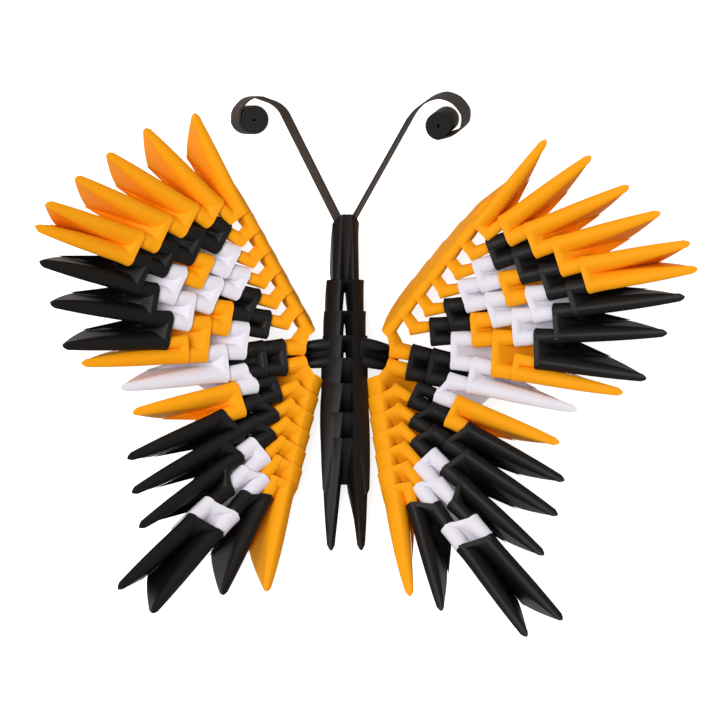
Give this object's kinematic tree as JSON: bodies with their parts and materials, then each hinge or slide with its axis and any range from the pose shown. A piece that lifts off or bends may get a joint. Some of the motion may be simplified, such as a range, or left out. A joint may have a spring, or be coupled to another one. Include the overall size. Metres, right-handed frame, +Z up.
{
  "type": "modular origami butterfly",
  "caption": "Butterfly built from interlocked folded paper triangles, with fan-shaped wings in orange, black and white, a slim black stacked body and curled paper-strip antennae.",
  "frame": {"origin": "on the floor, under the middle of the butterfly's outline as it lies flat", "axes": "+X across the wings towards the butterfly's wing on the picture's right, +Y from the tail to the head, +Z up, towards the faces of the wings that the picture shows"},
  "size_m": [0.1494, 0.1258, 0.0392],
  "materials": {
    "black_paper": "matt dyed paper with a soft grey sheen on its folds",
    "orange_paper": "matt dyed paper, deep red-orange in its folds",
    "white_paper": "matt white paper"
  },
  "bodies": {
    "root": {"abdomen_modules": "black_paper", "collar_module": "black_paper", "head_module": "black_paper", "left_antenna": "black_paper", "left_wing_row_00_black": "black_paper", "left_wing_row_01_orange": "orange_paper", "left_wing_row_02_black": "black_paper", "left_wing_row_02_orange": "orange_paper", "left_wing_row_03_black": "black_paper", "left_wing_row_03_orange": "orange_paper", "left_wing_row_04_black": "black_paper", "left_wing_row_04_orange": "orange_paper", "left_wing_row_04_white": "white_paper", "left_wing_row_05_black": "black_paper", "left_wing_row_05_orange": "orange_paper", "left_wing_row_05_white": "white_paper", "left_wing_row_06_black": "black_paper", "left_wing_row_06_orange": "orange_paper", "left_wing_row_06_white": "white_paper", "left_wing_row_07_black": "black_paper", "left_wing_row_07_orange": "orange_paper", "left_wing_row_07_white": "white_paper", "left_wing_row_08_black": "black_paper", "left_wing_row_08_orange": "orange_paper", "left_wing_row_08_white": "white_paper", "left_wing_row_09_black": "black_paper", "left_wing_row_09_orange": "orange_paper", "left_wing_row_09_white": "white_paper", "left_wing_row_10_black": "black_paper", "left_wing_row_10_orange": "orange_paper", "left_wing_row_11_orange": "orange_paper", "right_antenna": "black_paper", "right_wing_row_00_black": "black_paper", "right_wing_row_01_orange": "orange_paper", "right_wing_row_02_black": "black_paper", "right_wing_row_02_orange": "orange_paper", "right_wing_row_03_black": "black_paper", "right_wing_row_03_orange": "orange_paper", "right_wing_row_04_black": "black_paper", "right_wing_row_04_orange": "orange_paper", "right_wing_row_04_white": "white_paper", "right_wing_row_05_black": "black_paper", "right_wing_row_05_orange": "orange_paper", "right_wing_row_05_white": "white_paper", "right_wing_row_06_black": "black_paper", "right_wing_row_06_orange": "orange_paper", "right_wing_row_06_white": "white_paper", "right_wing_row_07_black": "black_paper", "right_wing_row_07_orange": "orange_paper", "right_wing_row_07_white": "white_paper", "right_wing_row_08_black": "black_paper", "right_wing_row_08_orange": "orange_paper", "right_wing_row_08_white": "white_paper", "right_wing_row_09_black": "black_paper", "right_wing_row_09_orange": "orange_paper", "right_wing_row_09_white": "white_paper", "right_wing_row_10_black": "black_paper", "right_wing_row_10_orange": "orange_paper", "right_wing_row_11_orange": "orange_paper", "tail_module": "black_paper"}
  },
  "joints": []
}
